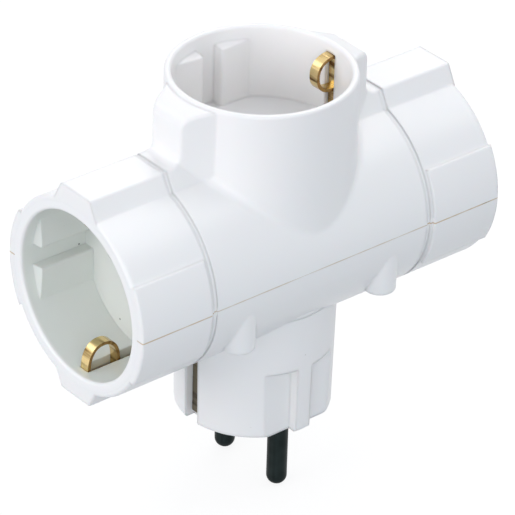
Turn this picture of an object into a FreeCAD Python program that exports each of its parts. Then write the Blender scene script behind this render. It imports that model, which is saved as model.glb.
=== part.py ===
import FreeCAD, Part
import math
import os

import Sketcher

# A plug adapter with three sockets, for type F plugs with side earth contacts.
# A horizontal barrel has a socket at each end, a collar carries a third one on
# top, and a round keyed plug body hangs below.
# Frame: origin in the plug's face, midway between the pins, +Z up through the
# collar, X along the barrel, the two pins side by side along Y. Every body is
# drawn about the crossing of the barrel's and the collar's axes and then lifted
# by axis_height.

# Driving sizes in millimetres and degrees
SIZES = {
    # socket recesses
    "recess_radius": 19.9,
    "recess_depth": 18.0,
    "floor_thickness": 2.0,
    "rib_depth": 3.0,
    "rib_gap": 5.2,
    "rib_start": 3.3,
    "rib_slope_drop": 0.6,
    "rib_rounding": 0.5,
    "mouth_rounding": 0.7,
    "pin_inset": 10.4,
    "pin_hole_radius": 2.6,
    "clip_slot_width": 3.0,
    # barrel and its socket cups
    "cup_spacing": 9.2,
    "cup_wall": 2.05,
    "cup_gap": 0.05,
    "fit_gap": 0.2,
    "shell_wall": 1.4,
    "bead_rise": 0.5,
    "bead_width": 1.6,
    "bead_depth": 14.0,
    "seam_gap": 0.1,
    # grips at the barrel's ends
    "grip_length": 20.5,
    "ring_width": 1.0,
    "ring_depth": 0.35,
    "ring_angle": 144.0,
    "band_setback": 0.7,
    "band_rise": 0.65,
    "band_rounding": 0.4,
    "band_angle": 62.0,
    "rim_rounding": 0.9,
    # ridges over the earth clips
    "ridge_top_width": 10.0,
    "ridge_side_slope": 0.53,
    "ridge_rise": 3.1,
    "lower_ridge_rise": 2.7,
    "ridge_sink": 1.3,
    "ridge_bend": 2.6,
    "ridge_rounding": 0.8,
    "ridge_end_rounding": 0.6,
    "channel_gap": 0.3,
    # collar
    "collar_sink": 2.4,
    "collar_wall": 1.6,
    "collar_draft": 0.4,
    "collar_rounding": 0.6,
    "collar_blend": 2.5,
    "shoulder_drop": 1.7,
    "shoulder_inset": 0.85,
    "shoulder_foot": 3.8,
    "ramp_step": 0.1,
    # plug body
    "axis_height": 46.0,
    "plug_clearance": 1.8,
    "plug_draft": 0.5,
    "plug_wall": 1.7,
    "cavity_corner": 5.0,
    "plug_rounding": 0.8,
    "key_depth": 2.5,
    "key_height": 17.0,
    "key_width": 4.1,
    "earth_depth": 2.0,
    "earth_slot_width": 4.4,
    "earth_land": 5.0,
    "strap_end": 1.4,
    # pins
    "pin_radius": 2.4,
    "pin_length": 19.0,
    "pin_clearance": 0.05,
    "pin_seat_radius": 2.8,
    "flange_radius": 3.6,
    "flange_thickness": 1.2,
    "carrier_height": 8.8,
    "tenon_radius": 1.6,
    "rivet_radius": 2.6,
    "rivet_height": 0.8,
    # brass inside
    "strip_thickness": 0.8,
    "clip_width": 2.6,
    "clip_start": 2.6,
    "clip_reach": 6.1,
    "top_clip_reach": 4.9,
    "clip_length": 9.0,
    "clip_neck": 0.9,
    "crown_start": 2.6,
    "crown_end": 5.7,
    "clip_bend": 2.5,
    "clip_foot": 4.8,
    "top_clip_tail": 16.8,
    "bus_thickness": 1.0,
    "bus_width": 6.0,
    "bus_gap": 2.0,
    "sleeve_wall": 0.7,
    "sleeve_length": 13.0,
    "sleeve_gap": 0.5,
    "sleeve_opening": 2.0,
    # screws and their towers
    "screw_setback": 1.5,
    "screw_inset": 4.4,
    "tower_radius": 3.8,
    "tower_rounding": 0.7,
    "tower_draft": 0.2,
    "tower_drop": 15.2,
    "nut_height": 6.4,
    "nut_radius": 3.3,
    "screw_radius": 1.5,
    "head_radius": 2.7,
    "head_height": 1.8,
    "head_sink": 3.4,
    "drive_width": 0.8,
}

document = FreeCAD.newDocument("multi_socket_adapter")
sheet = document.addObject("Spreadsheet::Sheet", "Sizes")
for row, (alias, value) in enumerate(SIZES.items(), start=1):
    sheet.set(f"A{row}", alias.replace("_", " "))
    sheet.set(f"B{row}", str(value))
    sheet.setAlias(f"B{row}", alias)
document.recompute()


class Size:
    """A size that carries its number and its formula in the sheet's names."""

    def __init__(self, number, formula):
        self.number = number
        self.formula = formula

    def __add__(self, other):
        other = as_size(other)
        return Size(self.number + other.number, f"({self.formula} + {other.formula})")

    def __sub__(self, other):
        other = as_size(other)
        return Size(self.number - other.number, f"({self.formula} - {other.formula})")

    def __rsub__(self, other):
        return as_size(other) - self

    def __mul__(self, other):
        other = as_size(other)
        return Size(self.number * other.number, f"({self.formula} * {other.formula})")

    def __truediv__(self, other):
        other = as_size(other)
        return Size(self.number / other.number, f"({self.formula} / {other.formula})")

    def __neg__(self):
        return Size(-self.number, f"(0 - {self.formula})")

    __radd__ = __add__
    __rmul__ = __mul__


def as_size(value):
    """A plain number becomes a size with itself as its formula."""
    if isinstance(value, Size):
        return value
    return Size(float(value), f"{value:g}" if value >= 0 else f"(0 - {-value:g})")


def size(alias):
    """The size that one cell of the sheet holds."""
    return Size(float(sheet.get(alias)), f"Sizes.{alias}")


# Sizes that follow from the driving ones
recess_radius = size("recess_radius")
recess_depth = size("recess_depth")
floor_thickness = size("floor_thickness")
strip = size("strip_thickness")
cup_radius = recess_radius + size("cup_wall")
cavity_radius = cup_radius + size("cup_gap")
barrel_radius = cavity_radius + size("shell_wall")
cup_back = cavity_radius + size("cup_spacing")
half_length = cup_back + floor_thickness + recess_depth
grip_start = half_length - size("grip_length")
rib_plane = recess_radius - size("rib_depth")
ridge_face = barrel_radius + size("ridge_rise")
lower_ridge_face = barrel_radius + size("lower_ridge_rise")
ridge_root = recess_radius - size("ridge_sink")
half_ridge = size("ridge_top_width") / 2
collar_back = cavity_radius - size("collar_sink")
collar_top = collar_back + floor_thickness + recess_depth
collar_radius = recess_radius + size("collar_wall")
collar_foot = collar_radius + size("collar_draft")
shoulder_x = ridge_face - size("shoulder_inset")
shoulder_z = collar_top - size("shoulder_drop")
shoulder_foot = collar_top - size("shoulder_foot")
ramp_top = collar_top - size("collar_rounding") - size("ramp_step")
bead_outer = half_length - size("bead_depth")
bead_inner = bead_outer - size("bead_width")
bead_radius = cavity_radius + size("bead_rise")
plug_face = size("axis_height")
plug_radius = recess_radius - size("plug_clearance")
plug_shoulder = plug_radius + size("plug_draft")
key_plane = plug_radius - size("key_depth")
earth_plane = plug_radius - size("earth_depth")
earth_slot_height = plug_face - cavity_radius - size("earth_land")
pin_offset = recess_radius - size("pin_inset")
clip_back = cavity_radius
strap_inner = clip_back + strip
strap_outer = strap_inner + strip
strap_width = size("earth_slot_width") - 2 * size("fit_gap")
channel_half = strap_width / 2 + size("channel_gap")
jog_level = cavity_radius - 2 * size("fit_gap")
contact_inner = earth_plane - strip
sleeve_bore = size("pin_radius") + size("pin_clearance")
sleeve_half = sleeve_bore + size("sleeve_wall")
bus_inner = pin_offset + sleeve_half
bus_outer = bus_inner + size("bus_thickness")
carrier_level = floor_thickness + size("flange_thickness")
tab_level = carrier_level + size("carrier_height")
cavity_half_depth = key_plane - size("plug_wall")
cavity_half_width = contact_inner - size("plug_wall")
screw_x = cavity_radius - size("screw_setback")
screw_y = barrel_radius - size("screw_inset")
tower_end = -size("tower_drop")

X = FreeCAD.Vector(1, 0, 0)
Y = FreeCAD.Vector(0, 1, 0)
Z = FreeCAD.Vector(0, 0, 1)
TOLERANCE = 1e-4
CURVE_TOLERANCE = 1e-2


def new_body(name, at=(0, 0, 0), rotation=None):
    """A body placed at a point of the barrel's frame, with axes turned by rotation."""
    body = document.addObject("PartDesign::Body", name)
    body.Label = name
    place = [as_size(value) for value in at]
    place[2] = place[2] + plug_face
    base = FreeCAD.Vector(*[value.number for value in place])
    body.Placement = FreeCAD.Placement(base, rotation or FreeCAD.Rotation())
    for axis, value in zip("xyz", place):
        body.setExpression(f"Placement.Base.{axis}", value.formula)
    return body


def turned(along, outward):
    """The rotation whose local X points along one direction and local Z outward."""
    return FreeCAD.Rotation(along, outward.cross(along), outward, "XZY")


def origin_plane(body, role):
    """One of the body's own origin planes."""
    return next(item for item in body.Origin.OriginFeatures if item.Role == role)


def new_sketch(body, name, role, offset=0, across=0):
    """A sketch on an origin plane, moved by offset along the plane's normal and by across along its own X."""
    sketch = body.newObject("Sketcher::SketchObject", name)
    sketch.AttachmentSupport = [(origin_plane(body, role), "")]
    sketch.MapMode = "FlatFace"
    offset = as_size(offset)
    across = as_size(across)
    sketch.AttachmentOffset = FreeCAD.Placement(
        FreeCAD.Vector(across.number, 0, offset.number), FreeCAD.Rotation(),
    )
    sketch.setExpression("AttachmentOffset.Base.x", across.formula)
    sketch.setExpression("AttachmentOffset.Base.z", offset.formula)
    return sketch


def hold(sketch, geometry, point, across, up):
    """Holds a point of a sketch at two distances from the sketch's origin."""
    for kind, axis, value in (("DistanceX", -2, across), ("DistanceY", -1, up)):
        value = as_size(value)
        if abs(value.number) < TOLERANCE:
            sketch.addConstraint(Sketcher.Constraint("PointOnObject", geometry, point, axis))
            continue
        ends = (-1, 1, geometry, point) if value.number > 0 else (geometry, point, -1, 1)
        index = sketch.addConstraint(Sketcher.Constraint(kind, *ends, abs(value.number)))
        sketch.setExpression(f"Constraints[{index}]", (value if value.number > 0 else -value).formula)


def polygon(sketch, corners, arcs=None):
    """A closed outline through the corners; arcs maps a side's index to its outward radius.

    With arcs, the corners run anticlockwise.
    """
    first = sketch.GeometryCount
    arcs = arcs or {}
    points = [FreeCAD.Vector(as_size(a).number, as_size(b).number, 0) for a, b in corners]
    count = len(points)
    for index in range(count):
        start, end = points[index], points[(index + 1) % count]
        if index not in arcs:
            sketch.addGeometry(Part.LineSegment(start, end))
            continue
        radius = as_size(arcs[index])
        chord = end - start
        rise = math.sqrt(max(radius.number ** 2 - chord.Length ** 2 / 4, 0.0))
        centre = (start + end) / 2 + FreeCAD.Vector(-chord.y, chord.x, 0) * (rise / chord.Length)
        angles = [math.atan2(point.y - centre.y, point.x - centre.x) for point in (start, end)]
        if angles[1] < angles[0]:
            angles[1] += 2 * math.pi
        sketch.addGeometry(Part.ArcOfCircle(Part.Circle(centre, Z, radius.number), *angles))
        held = sketch.addConstraint(Sketcher.Constraint("Radius", first + index, radius.number))
        sketch.setExpression(f"Constraints[{held}]", radius.formula)
    for index in range(count):
        following = first + (index + 1) % count
        sketch.addConstraint(Sketcher.Constraint("Coincident", first + index, 2, following, 1))
    for index, (across, up) in enumerate(corners):
        hold(sketch, first + index, 1, across, up)
    return sketch


def rectangle(sketch, left, right, low, high):
    """A rectangle between two distances each way."""
    return polygon(sketch, [(left, low), (right, low), (right, high), (left, high)])


def circle(sketch, radius, across=0, up=0):
    """A circle about a point of the sketch."""
    radius = as_size(radius)
    centre = FreeCAD.Vector(as_size(across).number, as_size(up).number, 0)
    index = sketch.addGeometry(Part.Circle(centre, Z, radius.number))
    hold(sketch, index, 3, across, up)
    held = sketch.addConstraint(Sketcher.Constraint("Radius", index, radius.number))
    sketch.setExpression(f"Constraints[{held}]", radius.formula)
    return sketch


def flattened_circle(sketch, radius, flat, upright=False):
    """A circle about the origin, cut off by two chords at flat to either side, level or upright."""
    reach = math.sqrt(radius.number ** 2 - flat.number ** 2)
    lean = math.atan2(flat.number, reach)
    turn = math.pi / 2 if upright else 0.0
    corners = [(reach, flat.number), (-reach, flat.number), (-reach, -flat.number), (reach, -flat.number)]
    points = [
        FreeCAD.Vector(a * math.cos(turn) - b * math.sin(turn), a * math.sin(turn) + b * math.cos(turn), 0)
        for a, b in corners
    ]
    for middle in (turn, turn + math.pi):
        ring = Part.Circle(FreeCAD.Vector(0, 0, 0), Z, radius.number)
        sketch.addGeometry(Part.ArcOfCircle(ring, middle - lean, middle + lean))
    sketch.addGeometry(Part.LineSegment(points[0], points[1]))
    sketch.addGeometry(Part.LineSegment(points[2], points[3]))
    for ends in ((0, 2, 2, 1), (2, 2, 1, 1), (1, 2, 3, 1), (3, 2, 0, 1), (0, 3, -1, 1), (1, 3, -1, 1)):
        sketch.addConstraint(Sketcher.Constraint("Coincident", *ends))
    for chord in (2, 3):
        sketch.addConstraint(Sketcher.Constraint("Vertical" if upright else "Horizontal", chord))
    for arc in (0, 1):
        index = sketch.addConstraint(Sketcher.Constraint("Radius", arc, radius.number))
        sketch.setExpression(f"Constraints[{index}]", radius.formula)
    near_chord, far_chord = (3, 2) if upright else (2, 3)
    kind = "DistanceX" if upright else "DistanceY"
    for ends in ((-1, 1, near_chord, 1), (far_chord, 1, -1, 1)):
        index = sketch.addConstraint(Sketcher.Constraint(kind, *ends, flat.number))
        sketch.setExpression(f"Constraints[{index}]", flat.formula)
    return sketch


def finish(body, feature, grows):
    """Computes a new feature and makes sure that it added or removed material."""
    before = feature.BaseFeature.Shape.Volume if feature.BaseFeature else 0.0
    document.recompute()
    change = feature.Shape.Volume - before
    if feature.State and ("Invalid" in feature.State or "Error" in feature.State):
        raise RuntimeError(f"{body.Label}: {feature.Label} can't be computed")
    if (change <= 0) if grows else (change >= 0):
        raise RuntimeError(f"{body.Label}: {feature.Label} changed the volume by {change:.3f}")
    return feature


def extrude(body, sketch, length, cut=False, both_ways=False, backward=False):
    """Adds or cuts a prism along the sketch's normal, or to both sides of the sketch."""
    kind, name = ("PartDesign::Pocket", "cut") if cut else ("PartDesign::Pad", "pad")
    feature = body.newObject(kind, f"{sketch.Name}_{name}")
    feature.Profile = sketch
    length = as_size(length)
    feature.Length = length.number
    feature.setExpression("Length", length.formula)
    feature.SideType = "Symmetric" if both_ways else "One side"
    if not both_ways:
        feature.Reversed = backward != cut
    return finish(body, feature, not cut)


def revolve(body, sketch, axis, angle=360, cut=False):
    """Adds or cuts a turned form about an axis of the sketch, centred on the sketch."""
    kind, name = ("PartDesign::Groove", "groove") if cut else ("PartDesign::Revolution", "turn")
    feature = body.newObject(kind, f"{sketch.Name}_{name}")
    feature.Profile = sketch
    feature.ReferenceAxis = (sketch, [axis])
    angle = as_size(angle)
    feature.Angle = angle.number
    feature.setExpression("Angle", angle.formula)
    feature.Midplane = angle.number < 360
    return finish(body, feature, not cut)


def cone(body, name, low, high, low_radius, high_radius, cut=False):
    """Adds or cuts a cone about local Z between two levels."""
    feature = body.newObject(f"PartDesign::{'Subtractive' if cut else 'Additive'}Cone", name)
    feature.AttachmentSupport = [(origin_plane(body, "XY_Plane"), "")]
    feature.MapMode = "FlatFace"
    low = as_size(low)
    feature.AttachmentOffset = FreeCAD.Placement(FreeCAD.Vector(0, 0, low.number), FreeCAD.Rotation())
    feature.setExpression("AttachmentOffset.Base.z", low.formula)
    for key, value in (("Radius1", low_radius), ("Radius2", high_radius), ("Height", high - low)):
        value = as_size(value)
        setattr(feature, key, value.number)
        feature.setExpression(key, value.formula)
    return finish(body, feature, not cut)


def round_edges(body, name, radius, wanted):
    """Rounds the edges of the body's tip whose two ends and middle satisfy wanted."""
    radius = as_size(radius)
    chosen = []
    for index, edge in enumerate(body.Tip.Shape.Edges, start=1):
        middle = edge.valueAt((edge.FirstParameter + edge.LastParameter) / 2)
        if wanted(edge, [vertex.Point for vertex in edge.Vertexes] + [middle]):
            chosen.append(f"Edge{index}")
    if not chosen:
        raise RuntimeError(f"{body.Label}: {name} found no edge")
    before = body.Tip.Shape.Volume
    feature = body.newObject("PartDesign::Fillet", name)
    feature.Base = (feature.BaseFeature, chosen)
    feature.Radius = radius.number
    feature.setExpression("Radius", radius.formula)
    document.recompute()
    if not feature.Shape.isValid() or abs(feature.Shape.Volume - before) < TOLERANCE:
        raise RuntimeError(f"{body.Label}: {name} did not round its edges")
    return feature


def near(value, target, tolerance=1e-3):
    """Whether a coordinate lies at a size."""
    return abs(value - as_size(target).number) < tolerance


def ridge_half(level, face):
    """Half the ridge's width at a distance from the axis: its sides lean outward from its face."""
    return half_ridge + (as_size(face) - level) * size("ridge_side_slope")


def add_barrel_ridge(body, face, side):
    """The ridge along the barrel, a prism with leaning sides that starts inside the shell."""
    foot = ridge_half(ridge_root, face)
    flank = [(half_ridge, side * face), (foot, side * ridge_root), (foot, 0)]
    outline = flank + [(-across, up) for across, up in reversed(flank)]
    ridge = polygon(new_sketch(body, "barrel_ridge", "YZ_Plane"), outline)
    extrude(body, ridge, 2 * half_length, both_ways=True)


def add_collar_ridges(body):
    """The upright ridges at both sides of the collar, with a ramp up to its rim."""
    foot = ridge_half(ridge_root, ridge_face)
    flank = [(ridge_face, half_ridge), (ridge_root, foot)]
    half = flank + [(-across, up) for across, up in reversed(flank)]
    outline = half + [(-across, -up) for across, up in half]
    extrude(body, polygon(new_sketch(body, "collar_ridges", "XY_Plane"), outline), ramp_top)
    ramps = new_sketch(body, "ramps", "XZ_Plane")
    above = collar_top + size("shoulder_drop")
    beyond = ridge_face + size("ridge_rise")
    for end in (-1, 1):
        ramp = [
            (ridge_face, shoulder_foot), (shoulder_x, shoulder_z), (collar_radius, ramp_top), (collar_radius, above),
            (beyond, above), (beyond, shoulder_foot),
        ]
        polygon(ramps, [(end * across, up) for across, up in ramp])
    extrude(body, ramps, 2 * barrel_radius, cut=True, both_ways=True)


def round_upper_ridge(body):
    """Rounds the ridge's bends across its width and then the edges of its face."""
    bends = (ridge_face, ridge_face), (ridge_face, shoulder_foot), (shoulder_x, shoulder_z)
    round_edges(
        body, "ridge_bends", size("ridge_bend"),
        lambda edge, points: any(
            all(near(abs(point.x), across) and near(point.z, up) for point in points) for across, up in bends
        ),
    )
    round_edges(
        body, "ridge_edges", size("ridge_rounding"),
        lambda edge, points: on_one_flank(points) and all(
            point.z > ridge_face.number - TOLERANCE and abs(point.x) > collar_radius.number - TOLERANCE for point in points
        ),
    )


def on_one_flank(points):
    """Whether all the points lie on the same side of the XZ plane."""
    return min(point.y for point in points) * max(point.y for point in points) > 0


def add_barrel(body):
    """The barrel with its rounded rims."""
    rounding = size("rim_rounding")
    barrel = new_sketch(body, "barrel", "XY_Plane")
    inner_radius = barrel_radius - rounding
    polygon(barrel, [
        (-half_length, 0), (half_length, 0), (half_length, inner_radius), (half_length - rounding, barrel_radius),
        (rounding - half_length, barrel_radius), (-half_length, inner_radius),
    ], arcs={2: rounding, 4: rounding})
    revolve(body, barrel, "H_Axis")


def add_collar(body):
    """The tapered collar with its rounded rim."""
    rounding = size("collar_rounding")
    collar = new_sketch(body, "collar", "XZ_Plane")
    polygon(collar, [
        (0, 0), (collar_foot, 0), (collar_radius, collar_top - rounding), (collar_radius - rounding, collar_top),
        (0, collar_top),
    ], arcs={2: rounding})
    revolve(body, collar, "V_Axis")


def on_barrel(point):
    """Whether a point lies on the barrel's outside."""
    return near(math.hypot(point.y, point.z), barrel_radius, CURVE_TOLERANCE)


def on_collar(point):
    """Whether a point lies on the collar's outside."""
    share = point.z / (collar_top - size("collar_rounding")).number
    return near(math.hypot(point.x, point.y), collar_foot - size("collar_draft") * share, CURVE_TOLERANCE)


def blend_collar(body):
    """Hollow roundings where the collar stands on the barrel, between the ridges."""
    round_edges(
        body, "collar_blend", size("collar_blend"),
        lambda edge, points: points[-1].z > TOLERANCE and all(
            on_barrel(point) and on_collar(point) for point in points
        ),
    )


def add_grips(body, face, side):
    """The raised bands on the flanks of both ends and the fine rings that bound them."""
    bands = new_sketch(body, "grip_bands", "XY_Plane")
    rings = new_sketch(body, "rings", "XY_Plane")
    band_top = barrel_radius + size("band_rise")
    band_start = grip_start + size("ring_width") / 2 + size("band_setback")
    ring_foot = barrel_radius - size("ring_depth")
    outer_edge = grip_start + size("ring_width") / 2
    inner_edge = grip_start - size("ring_width") / 2
    for end in (-1, 1):
        for flank in (-1, 1):
            across = in_order(end * band_start, end * half_length)
            rectangle(bands, *across, *in_order(flank * cavity_radius, flank * band_top))
            across = in_order(end * inner_edge, end * outer_edge)
            rectangle(rings, *across, *in_order(flank * ring_foot, flank * band_top))
    revolve(body, bands, "H_Axis", size("band_angle"))
    round_edges(
        body, "band_edges", size("band_rounding"),
        lambda edge, points: all(near(math.hypot(point.y, point.z), band_top) for point in points),
    )
    revolve(body, rings, "H_Axis", size("ring_angle"), cut=True)
    sunk = face - size("ring_depth")
    wide = ridge_half(ridge_root, face)
    half = [
        (ridge_half(sunk, face) - size("ring_depth"), sunk),
        (ridge_half(cavity_radius, face) - size("ring_depth"), cavity_radius),
        (wide, cavity_radius), (wide, face + size("ridge_rise")),
    ]
    outline = half + [(-across, up) for across, up in reversed(half)]
    for end, name in ((-1, "left_ridge_ring"), (1, "right_ridge_ring")):
        crossing = new_sketch(body, name, "YZ_Plane", end * grip_start - size("ring_width") / 2)
        polygon(crossing, [(across, side * up) for across, up in outline])
        extrude(body, crossing, size("ring_width"), cut=True)


def hollow_barrel(body, side):
    """Opens the shell: drops the other half, then cuts the cavity and the cups' bead grooves."""
    reach = ridge_face + half_length
    waste = new_sketch(body, "other_half", "XZ_Plane")
    rectangle(waste, -reach, reach, *in_order(side * size("seam_gap") / 2, -side * reach))
    extrude(body, waste, 2 * reach, cut=True, both_ways=True)
    cavity = circle(new_sketch(body, "cavity", "YZ_Plane"), cavity_radius)
    extrude(body, cavity, 2 * half_length, cut=True, both_ways=True)
    grooves = new_sketch(body, "bead_grooves", "XY_Plane")
    for end in (-1, 1):
        across = in_order(end * (bead_inner - size("fit_gap")), end * (bead_outer + size("fit_gap")))
        rectangle(grooves, *across, 0, bead_radius)
    revolve(body, grooves, "H_Axis", cut=True)


def in_order(*values):
    """Sizes in rising order."""
    return sorted([as_size(value) for value in values], key=lambda value: value.number)


def screw_places():
    """The four screw axes."""
    return [(end * screw_x, flank * screw_y) for end in (-1, 1) for flank in (-1, 1)]


def cut_recess(body, top):
    """Cuts a recess down local Z with ribs at both Y sides, clip slots at both X sides and pin holes."""
    floor = top - recess_depth
    rib_top = top - size("rib_start")
    mouth = circle(new_sketch(body, "mouth", "XY_Plane", top), recess_radius)
    extrude(body, mouth, size("rib_start"), cut=True, backward=True)
    cone(body, "rib_slope", rib_top - size("rib_slope_drop"), rib_top, rib_plane, recess_radius, cut=True)
    well = flattened_circle(new_sketch(body, "well", "XY_Plane", top), recess_radius, rib_plane)
    extrude(body, well, recess_depth, cut=True, backward=True)
    gap = new_sketch(body, "rib_gap", "XY_Plane", top)
    half_gap = size("rib_gap") / 2
    flattened_circle(gap, recess_radius, half_gap, upright=True)
    extrude(body, gap, recess_depth, cut=True, backward=True)
    round_edges(
        body, "rib_edges", size("rib_rounding"),
        lambda edge, points: all(
            near(abs(point.y), rib_plane) and near(abs(point.x), half_gap) for point in points
        ),
    )
    round_edges(
        body, "mouth_lip", size("mouth_rounding"),
        lambda edge, points: all(
            near(point.z, top) and near(math.hypot(point.x, point.y), recess_radius) for point in points
        ),
    )
    slots = new_sketch(body, "clip_slots", "XY_Plane", floor)
    holes = new_sketch(body, "pin_holes", "XY_Plane", floor)
    half_slot = size("clip_slot_width") / 2
    for end in (-1, 1):
        across = in_order(end * rib_plane, end * (bead_radius + size("fit_gap")))
        rectangle(slots, *across, -half_slot, half_slot)
        circle(holes, size("pin_hole_radius"), 0, end * pin_offset)
    extrude(body, slots, recess_depth - size("clip_start"), cut=True)
    extrude(body, holes, 2 * floor_thickness, cut=True, backward=True)


def build_upper_housing():
    """The upper shell: half of the barrel, with the collar and the upward recess."""
    body = new_body("upper_housing")
    add_barrel_ridge(body, ridge_face, 1)
    add_collar_ridges(body)
    round_upper_ridge(body)
    add_barrel(body)
    add_collar(body)
    blend_collar(body)
    add_grips(body, ridge_face, 1)
    hollow_barrel(body, 1)
    well = circle(new_sketch(body, "collar_well", "XY_Plane"), collar_radius - size("shell_wall"))
    extrude(body, well, collar_back, cut=True)
    disc = circle(new_sketch(body, "recess_floor", "XY_Plane", collar_back), collar_radius)
    extrude(body, disc, 2 * floor_thickness)
    cut_recess(body, collar_top)
    channels = new_sketch(body, "clip_channels", "XZ_Plane")
    inner = clip_back - size("fit_gap")
    strip_back = strap_inner + size("channel_gap")
    stack_back = strap_outer + strip + size("channel_gap")
    channel_end = half_length - size("clip_start")
    channel_top = collar_top - size("clip_start")
    for end in (-1, 1):
        outline = [
            (inner, inner / 2), (channel_end, inner / 2), (channel_end, strip_back), (stack_back, strip_back),
            (stack_back, stack_back), (strip_back, stack_back), (strip_back, channel_top), (inner, channel_top),
        ]
        polygon(channels, [(end * across, up) for across, up in outline])
    extrude(body, channels, 2 * channel_half, cut=True, both_ways=True)
    nuts = new_sketch(body, "nuts", "XY_Plane")
    threads = new_sketch(body, "threads", "XY_Plane")
    for across, up in screw_places():
        circle(nuts, size("nut_radius"), across, up)
        circle(threads, size("screw_radius"), across, up)
    extrude(body, nuts, size("nut_height"))
    extrude(body, threads, size("nut_height") - size("shell_wall"), cut=True)
    return body


def build_lower_housing():
    """The lower shell: half of the barrel, the screw towers and the keyed plug body."""
    body = new_body("lower_housing")
    add_barrel_ridge(body, lower_ridge_face, -1)
    round_edges(
        body, "ridge_ends", size("ridge_end_rounding"),
        lambda edge, points: all(
            near(abs(point.x), half_length) and near(point.z, -lower_ridge_face) for point in points
        ),
    )
    round_edges(
        body, "ridge_edges", size("ridge_end_rounding"),
        lambda edge, points: on_one_flank(points) and near(points[-1].z, -lower_ridge_face),
    )
    cone(body, "plug", -plug_face, tower_end, plug_radius, plug_shoulder)
    round_edges(
        body, "plug_rim", size("plug_rounding"),
        lambda edge, points: all(near(point.z, -plug_face) for point in points),
    )
    add_barrel(body)
    add_grips(body, lower_ridge_face, -1)
    hollow_barrel(body, -1)
    cut_plug(body)
    channels = new_sketch(body, "clip_channels", "XZ_Plane")
    for end in (-1, 1):
        across = in_order(end * (clip_back - size("fit_gap")), end * (half_length - size("clip_start")))
        rectangle(channels, *across, -strap_inner - size("channel_gap"), -clip_back / 2)
    extrude(body, channels, 2 * channel_half, cut=True, both_ways=True)
    add_towers(body)
    return body


def cut_plug(body):
    """Hollows the plug body and cuts its key flats, earth slots, strap passages and pin seats."""
    cavity = new_sketch(body, "plug_cavity", "XY_Plane", floor_thickness - plug_face)
    corner = size("cavity_corner")
    quarter = [(cavity_half_width, cavity_half_depth - corner), (cavity_half_width - corner, cavity_half_depth)]
    upper_half = quarter + [(-across, up) for across, up in reversed(quarter)]
    polygon(cavity, upper_half + [(-across, -up) for across, up in upper_half])
    extrude(body, cavity, plug_face - floor_thickness, cut=True)
    keys = new_sketch(body, "keys", "XY_Plane", -plug_face)
    slots = new_sketch(body, "earth_slots", "XY_Plane", -plug_face)
    passages = new_sketch(body, "strap_passages", "XY_Plane", earth_slot_height - plug_face - strip)
    holes = new_sketch(body, "pin_holes", "XY_Plane", -plug_face)
    half_slot = size("earth_slot_width") / 2
    for end in (-1, 1):
        for flank in (-1, 1):
            across = in_order(end * size("key_width") / 2, end * plug_radius)
            rectangle(keys, *across, *in_order(flank * key_plane, flank * barrel_radius))
        rectangle(slots, *in_order(end * contact_inner, end * barrel_radius), -half_slot, half_slot)
        outer = end * (earth_plane + size("channel_gap"))
        rectangle(passages, *in_order(end * contact_inner, outer), -half_slot, half_slot)
        circle(holes, size("pin_seat_radius") + size("pin_clearance"), 0, end * pin_offset)
    extrude(body, keys, size("key_height"), cut=True)
    extrude(body, slots, earth_slot_height, cut=True)
    extrude(body, passages, plug_face - earth_slot_height - barrel_radius / 2, cut=True)
    extrude(body, holes, 2 * floor_thickness, cut=True)


def add_towers(body):
    """The four slightly tapered screw towers with rounded ends, and the sinks and bores of the screws."""
    radius = size("tower_radius")
    rounding = size("tower_rounding")
    sinks = new_sketch(body, "screw_sinks", "XY_Plane", tower_end)
    bores = new_sketch(body, "screw_bores", "XY_Plane", tower_end)
    for index, (across, up) in enumerate(screw_places(), start=1):
        tower = new_sketch(body, f"tower_{index}", "XZ_Plane", -up, across)
        polygon(tower, [
            (0, tower_end), (radius - rounding, tower_end), (radius, tower_end + rounding),
            (radius + size("tower_draft"), 0), (0, 0),
        ], arcs={1: rounding})
        revolve(body, tower, "V_Axis")
        circle(sinks, size("head_radius") + size("fit_gap"), across, up)
        circle(bores, size("screw_radius") + size("fit_gap"), across, up)
    extrude(body, sinks, size("head_sink"), cut=True)
    extrude(body, bores, size("tower_drop"), cut=True)


def build_cup(name, along, outward):
    """A socket cup with its recess, drawn upright and laid along the barrel."""
    body = new_body(name, rotation=turned(along, outward))
    tube = circle(new_sketch(body, "tube", "XY_Plane", cup_back), cup_radius)
    extrude(body, tube, floor_thickness + recess_depth)
    bead = circle(new_sketch(body, "bead", "XY_Plane", bead_inner), bead_radius)
    extrude(body, bead, size("bead_width"))
    cut_recess(body, half_length)
    return body


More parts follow.
